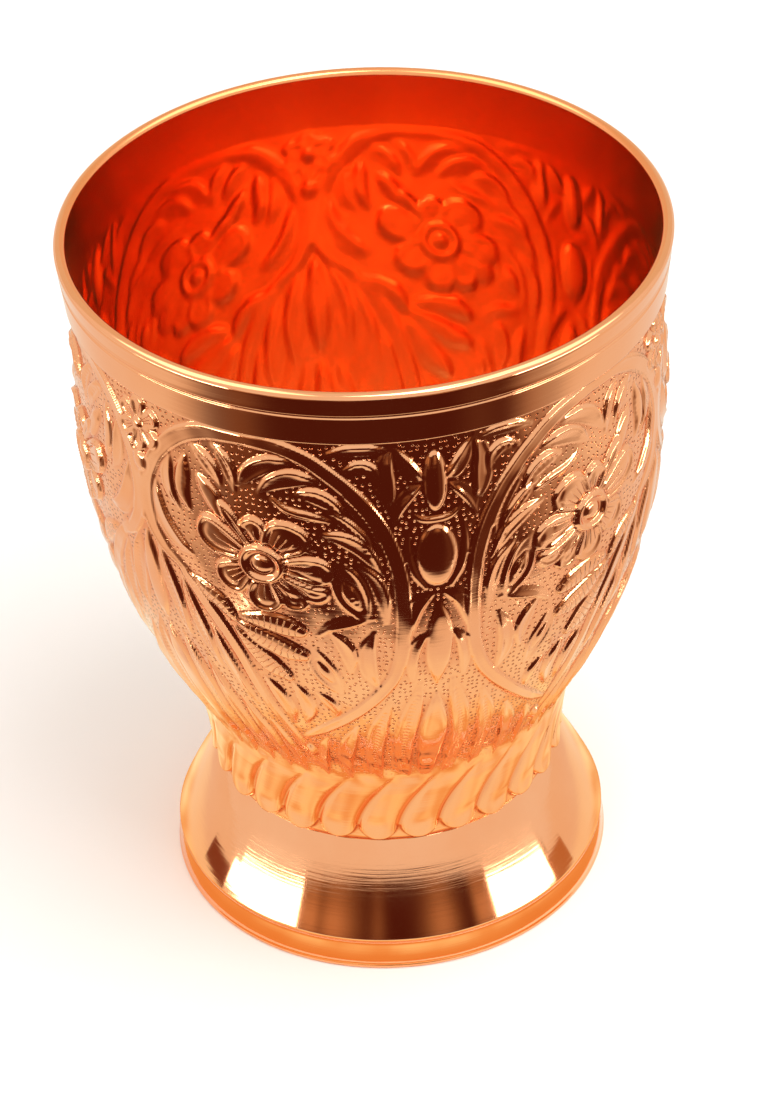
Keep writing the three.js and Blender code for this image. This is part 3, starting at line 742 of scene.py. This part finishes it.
class Material:
    """A node material with short calls for adding and linking nodes."""

    def __init__(self, name):
        self.material = bpy.data.materials.new(name)
        self.material.use_nodes = True
        self.nodes = self.material.node_tree.nodes
        self.shader = self.nodes["Principled BSDF"]

    def add(self, kind, inputs=(), **settings):
        node = self.nodes.new(kind)
        for key, value in settings.items():
            setattr(node, key, value)
        for key, value in dict(inputs).items():
            self.plug(node.inputs[key], value)
        return node

    def plug(self, socket, value):
        if hasattr(value, "links"):
            self.material.node_tree.links.new(value, socket)
        else:
            socket.default_value = value

    def math(self, operation, first, second=0.0):
        return self.add("ShaderNodeMath", {0: first, 1: second}, operation=operation).outputs[0]

    def plus(self, first, second):
        return self.math("ADD", first, second)

    def times(self, first, second):
        return self.math("MULTIPLY", first, second)

    def ramp(self, value, stops):
        node = self.add("ShaderNodeValToRGB", {"Fac": value})
        elements = node.color_ramp.elements
        while len(elements) < len(stops):
            elements.new(0.5)
        for element, (place, colour) in zip(elements, stops):
            element.position = place
            element.color = colour if hasattr(colour, "__len__") else (colour, colour, colour, 1)
        return node.outputs["Color"]

    def mix(self, share, first, second):
        return self.add("ShaderNodeMixRGB", {"Fac": share, "Color1": first, "Color2": second}).outputs[0]

    def bump(self, height, strength, distance, normal=None):
        inputs = {"Height": height, "Strength": strength, "Distance": distance}
        if normal is not None:
            inputs["Normal"] = normal
        return self.add("ShaderNodeBump", inputs).outputs[0]

    def attribute(self, name):
        return self.add("ShaderNodeAttribute", attribute_name=name).outputs["Fac"]

    def noise(self, vector, scale, detail):
        inputs = {"Vector": vector, "Scale": scale, "Detail": detail}
        return self.add("ShaderNodeTexNoise", inputs).outputs["Fac"]

    def finish(self, inputs):
        """Gives the shader its inputs, and the finished material back."""
        for key, value in inputs.items():
            self.plug(self.shader.inputs[key], value)
        return self.material


def turned_lines(made, scale):
    """Noise that runs in rings round the axis, as the marks of a lathe do."""
    place = made.add("ShaderNodeTexCoord").outputs["Object"]
    split = made.add("ShaderNodeSeparateXYZ", {0: place})
    x, y, z = (split.outputs[axis] for axis in ("X", "Y", "Z"))
    radius = made.math("SQRT", made.plus(made.times(x, x), made.times(y, y)))
    rings = made.add("ShaderNodeCombineXYZ", {"X": radius, "Y": z, "Z": made.times(x, 0.03)})
    return place, made.noise(rings.outputs[0], scale, 6.0)


COPPER = (0.93, 0.42, 0.20, 1)
# Darker copper for the recesses: partly patina, partly painted shade.
COPPER_PATINA_AND_SHADE = (0.77, 0.24, 0.10, 1)
COPPER_PALE = (0.95, 0.47, 0.245, 1)
# A deeper orange for the inner face: a painted reflection, standing in for the colour that light gains
# bouncing round inside the cup.
INSIDE_PAINTED_REFLECTION_TINT = (0.975, 0.34, 0.11, 1)
COPPER_DARK = (0.3, 0.07, 0.025, 1)


def copper(name, roughness, line_strength, worked=False):
    """Polished copper: slow colour drift, turning lines or hand marks, and a dull darker tone in recesses
    that is partly patina and partly painted shade.
    """
    made = Material(name)
    place, rings = turned_lines(made, 2600.0)
    blotch = made.noise(place, 90.0, 5.0)
    tint = made.mix(made.ramp(blotch, [(0.35, 0.0), (0.75, 1.0)]), COPPER, COPPER_PALE)
    rough = made.plus(roughness, made.times(blotch, 0.05))
    normal = made.bump(rings, line_strength, 0.00004)
    if worked:
        # Recesses are darkened towards deeper copper: partly patina, partly painted shade where the relief's
        # hollows lie in shadow.
        cavity = made.attribute("cavity")
        patina_and_shade = made.ramp(made.plus(made.times(cavity, -1.6), 0.2), [(0.25, 0.0), (0.8, 1.0)])
        tint = made.mix(patina_and_shade, tint, COPPER_PATINA_AND_SHADE)
        rough = made.plus(rough, made.times(patina_and_shade, 0.1))
        inside = made.attribute("inside")
        # The inner face is tinted deeper orange: a painted reflection of the light that bounces round inside.
        tint = made.mix(made.times(inside, 0.6), tint, INSIDE_PAINTED_REFLECTION_TINT)
        rough = made.plus(rough, made.times(inside, 0.1))
        flat = made.add("ShaderNodeUVMap", uv_map="OFBake").outputs[0]
        spread = made.add("ShaderNodeMapping", {"Vector": flat, "Scale": (240.0, 225.0, 1.0)}).outputs[0]
        cells = made.add("ShaderNodeTexVoronoi", {"Vector": spread, "Scale": 1.15, "Randomness": 0.6},
                         voronoi_dimensions="2D").outputs["Distance"]
        dots = made.times(made.ramp(cells, [(0.12, 1.0), (0.24, 0.0)]), made.attribute("punch"))
        wave = made.math("COSINE", made.times(made.attribute("lines"), 2 * math.pi))
        chased = made.times(made.ramp(wave, [(0.75, 0.0), (1.0, 0.6)]), made.attribute("lined"))
        marks = made.math("MAXIMUM", dots, chased)
        normal = made.bump(marks, 1.0, -0.00016, normal)
        tint = made.mix(made.times(marks, 0.6), tint, COPPER_DARK)
    return made.finish({"Base Color": tint, "Roughness": rough, "Metallic": 1.0, "Normal": normal})


def alloy(name, colour, dull):
    """Braze or solder: a dull cast skin with fine grain and dark spots of flux."""
    made = Material(name)
    place = made.add("ShaderNodeTexCoord").outputs["Object"]
    grain = made.noise(place, 900.0, 6.0)
    spots = made.ramp(made.noise(place, 260.0, 3.0), [(0.56, 0.0), (0.68, 1.0)])
    tint = made.mix(made.times(spots, 0.6), colour, dull)
    rough = made.plus(0.28, made.times(grain, 0.3))
    normal = made.bump(grain, 0.5, 0.00008)
    return made.finish({"Base Color": tint, "Metallic": 1.0, "Roughness": rough, "Normal": normal})


# The camera as fitted to the rim and the foot in the photograph: its place in millimetres, its yaw, pitch
# and roll in radians, and its focal length over the frame's longer side, both in pixels.
CAMERA_AT = (0, -392.5, 344.9)
CAMERA_TURNS = (0.0038, 0.6482, -0.0449)
FOCAL_SHARE = 3669.35 / 1108


def make_camera():
    """The camera at its place, with its lens."""
    yaw, pitch, roll = CAMERA_TURNS
    data = bpy.data.cameras.new("camera")
    camera = add_object("camera", data)
    forward = Vector((math.sin(yaw) * math.cos(pitch), math.cos(yaw) * math.cos(pitch), -math.sin(pitch)))
    right = Vector((math.cos(yaw), -math.sin(yaw), 0))
    up = right.cross(forward)
    level_right = math.cos(roll) * right + math.sin(roll) * up
    level_up = -math.sin(roll) * right + math.cos(roll) * up
    turn = Matrix((level_right, level_up, -forward)).transposed()
    camera.matrix_world = Matrix.Translation(Vector(CAMERA_AT) * MM) @ turn.to_4x4()
    data.sensor_fit = "AUTO"
    data.sensor_width = 36.0
    data.lens = FOCAL_SHARE * data.sensor_width
    data.clip_start, data.clip_end = 0.02, 20.0
    bpy.context.scene.camera = camera


def glow(name, colour, strength):
    """A light-giving or plain dark material for the studio's cards. Its colour is three numbers, or the name
    of an attribute that holds it for each point."""
    made = Material(name)
    made.nodes.clear()
    if isinstance(colour, str):
        tone = made.add("ShaderNodeAttribute", attribute_name=colour).outputs["Color"]
    else:
        tone = (*colour, 1)
    emission = made.add("ShaderNodeEmission", {"Color": tone, "Strength": strength})
    made.add("ShaderNodeOutputMaterial", {"Surface": emission.outputs[0]})
    return made.material


def reflected_only(name, mesh, material):
    """A stage object that shows in reflections alone."""
    made = add_object(name, mesh)
    mesh.materials.append(material)
    made.visible_camera = False
    made.visible_diffuse = False
    made.visible_shadow = False
    made.visible_transmission = False


def oblong(left, right, low, high):
    """The corners of an oblong, round from the lower left one."""
    return [(left, low), (right, low), (right, high), (left, high)]


def card(name, corners, material):
    """A flat studio card. Corners are in millimetres."""
    mesh = bpy.data.meshes.new(name)
    mesh.from_pydata([Vector(corner) * MM for corner in corners], [], [tuple(range(len(corners)))])
    reflected_only(name, mesh, material)


def facing(left, right, distance, low, high):
    """Corners of an upright card across the view, in front of the tumbler."""
    return [(x, -distance, z) for x, z in oblong(left, right, low, high)]


def grid_mesh(name, points, looped=False):
    """A mesh through a grid of points in millimetres. Its rows close to rings if it is looped."""
    ring = np.arange(points[..., 0].size).reshape(points.shape[:2])
    after = np.roll(ring, -1, axis=1)
    span = slice(None) if looped else slice(-1)
    corners = (ring[:-1, span], after[:-1, span], after[1:, span], ring[1:, span])
    faces = np.stack(corners, -1).reshape(-1, 4)
    mesh = bpy.data.meshes.new(name)
    mesh.from_pydata((points.reshape(-1, 3) * MM).tolist(), [], faces.tolist())
    return mesh


def bent_card(name, line, start, end, material):
    """A card swept round the tumbler's axis: a line of (radius, height) from one azimuth to another."""
    turn = np.radians(np.linspace(start, end, 13))
    radius, height = np.array(line, float).T
    points = np.stack([np.outer(radius, np.sin(turn)), np.outer(radius, -np.cos(turn)),
                       np.outer(height, np.ones_like(turn))], -1)
    reflected_only(name, grid_mesh(name, points), material)


def shaded_card(name, points, tones, looped=False):
    """A card through a grid of points, each with the light it gives as a colour."""
    mesh = grid_mesh(name, points, looped)
    colours = mesh.color_attributes.new("tone", "FLOAT_COLOR", "POINT")
    opaque = np.ones((*tones.shape[:2], 1))
    colours.data.foreach_set("color", np.concatenate([tones, opaque], -1).astype(np.float32).ravel())
    reflected_only(name, mesh, glow(name, "tone", 1.0))


PAPER_TONE = np.array([0.93, 0.84, 0.72])
GOLDEN_TONE = np.array([1.04, 1.0, 0.78])
EMBER_TONE = np.array([0.93, 0.47, 0.15])
AMBER_TONE = np.array([1.0, 0.64, 0.27])
HONEY_TONE = np.array([1.15, 1.05, 0.6])
DARK_TONE = np.array([0.08, 0.017, 0.01])
BROWN_TONE = np.array([0.6, 0.34, 0.18])


def blend(share, first, second):
    """Two colours mixed by a share for each point."""
    return first * (1 - share[..., None]) + second * share[..., None]


def floor_card():
    """What the tumbler sees in the floor: an ember glow right at its foot, patches of amber and honey round
    that, then paper, and the dark room in front. Azimuths are in degrees from the front."""
    radii = np.concatenate([np.arange(31, 60, 1.5), np.arange(60, 210, 3.0), [260, 400, 700, 1500]])
    radius, azimuth = np.meshgrid(radii, np.arange(-180, 180, 3.0), indexing="ij")
    away = np.abs(azimuth)
    turn = np.radians(azimuth)
    start = 78 + 10 * smoothstep(10, 45, away) + 30 * smoothstep(62, 80, away)
    dark = smoothstep(start, start + 16 + 25 * smoothstep(30, 80, away), radius) * smoothstep(86, 46, away)
    lit = blend(smoothstep(75, 55, radius), PAPER_TONE, GOLDEN_TONE)
    patches = np.clip(0.6 + 0.45 * np.sin(9 * turn + 0.6 + 0.5 * radius) + 0.35 * np.sin(23 * turn), 0, 1)
    warm = blend(smoothstep(37, 33, radius), blend(patches, AMBER_TONE, HONEY_TONE), EMBER_TONE)
    lit = blend(smoothstep(48, 38, radius), lit, warm)
    room = blend(smoothstep(24, 70, away) * (0.3 + 0.2 * np.sin(14 * turn)), DARK_TONE, BROWN_TONE)
    points = np.stack([radius * np.sin(turn), -radius * np.cos(turn), np.full_like(radius, 0.3)], -1)
    shaded_card("floor_tone", points, blend(dark, lit, room), looped=True)


def front_card():
    """The dark room behind the camera, as the foot's dome sees it: darkest in the middle."""
    x, z = np.meshgrid(np.arange(-4000, 4001, 10.0), np.linspace(0, 98, 9), indexing="ij")
    folds = bump(x, -170, 60) + 0.8 * bump(x, 120, 45) + 0.3 * bump(x, -45, 18)
    folds += smoothstep(210, 260, np.abs(x))
    brown = folds * (0.4 + 0.6 * bump(z, 46, 30))
    points = np.stack([x, np.full_like(x, -300), z], -1)
    shaded_card("front_tone", points, blend(np.clip(brown, 0, 1), DARK_TONE, BROWN_TONE))


def make_studio():
    """A pale floor, even light all round, bright boxes beside and over the tumbler, low ones close to its
    foot, and a dark room towards the camera."""
    scene = bpy.context.scene
    scene.view_settings.view_transform = "Standard"
    world = bpy.data.worlds.new("studio")
    scene.world = world
    world.use_nodes = True
    sky = world.node_tree.nodes["Background"]
    sky.inputs["Color"].default_value = (1.0, 0.97, 0.92, 1)
    sky.inputs["Strength"].default_value = 0.95
    mesh = bpy.data.meshes.new("floor")
    half = 3.0
    mesh.from_pydata([(x, y, 0) for x, y in oblong(-half, half, -half, half)], [], [(0, 1, 2, 3)])
    floor = add_object("floor", mesh)
    paper = Material("floor_paper")
    mesh.materials.append(paper.finish({"Base Color": (0.93, 0.925, 0.92, 1), "Roughness": 0.8}))
    floor_card()
    front_card()
    brown = glow("card_brown", (0.55, 0.27, 0.12), 1.0)
    russet = glow("card_russet", (0.24, 0.08, 0.045), 1.0)
    paper_tone = glow("card_paper", PAPER_TONE, 1.0)
    bright = glow("card_bright", (1.0, 0.99, 0.96), 9.0)
    card("box_left", facing(-3400, -315, 290, 0, 86), bright)
    card("box_right", facing(320, 2300, 290, 0, 86), bright)
    for name, start, end, radius, top, material in (
            ("low_box_left", -79, -50, 90, 9, bright), ("low_box_right", 48, 73, 90, 9, bright),
            ("low_patch_left", -88, -73, 58, 7, russet), ("low_patch_right", 67, 79, 58, 8, brown)):
        bent_card(name, [(radius, 0.4), (radius, top)], start, end, material)
        bent_card(name + "_lid", [(radius - 8, top), (radius + 0.5, top)], start, end, paper_tone)
    soft = glow("card_overhead", (1.0, 0.95, 0.86), 2.7)
    for name, left, right in (("overhead_left", -700, -110), ("overhead_right", 130, 700)):
        card(name, [(x, y, 600) for x, y in oblong(left, right, -230, 230)], soft)
    card("behind", facing(-1500, 1500, -900, 150, 1400), glow("card_behind", (1.0, 0.9, 0.72), 0.85))
    lamp = bpy.data.lights.new("key", "AREA")
    lamp.energy = 4.0
    lamp.size = 0.5
    key = add_object("key", lamp)
    away = Vector((0.25, -0.2, 0.75))
    key.location = Vector((0, 0, 0.05)) + away
    key.rotation_euler = away.to_track_quat("Z", "Y").to_euler()


make_camera()
make_studio()

pieces = [
    (make_cup(), ("cup",), "embossed_copper", copper("copper_embossed", 0.06, 0.25, worked=True)),
    (make_foot(), ("foot",), "polished_copper", copper("copper_spun", 0.055, 0.22)),
    (make_plate(), ("base_plate",), "plate_copper", copper("copper_plate", 0.22, 0.8)),
    (make_fillet(), ("base_solder",), "brazing_alloy",
     alloy("solder_skin", (0.62, 0.56, 0.5, 1), (0.2, 0.14, 0.1, 1))),
]
for piece, stood_for, slot, material in pieces:
    piece.data.materials.append(material)
    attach(piece, "root")
    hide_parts(*stood_for)

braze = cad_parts["neck_braze"]
braze.data.materials.clear()
braze.data.materials.append(alloy("braze_skin", (0.78, 0.56, 0.26, 1), (0.25, 0.13, 0.05, 1)))
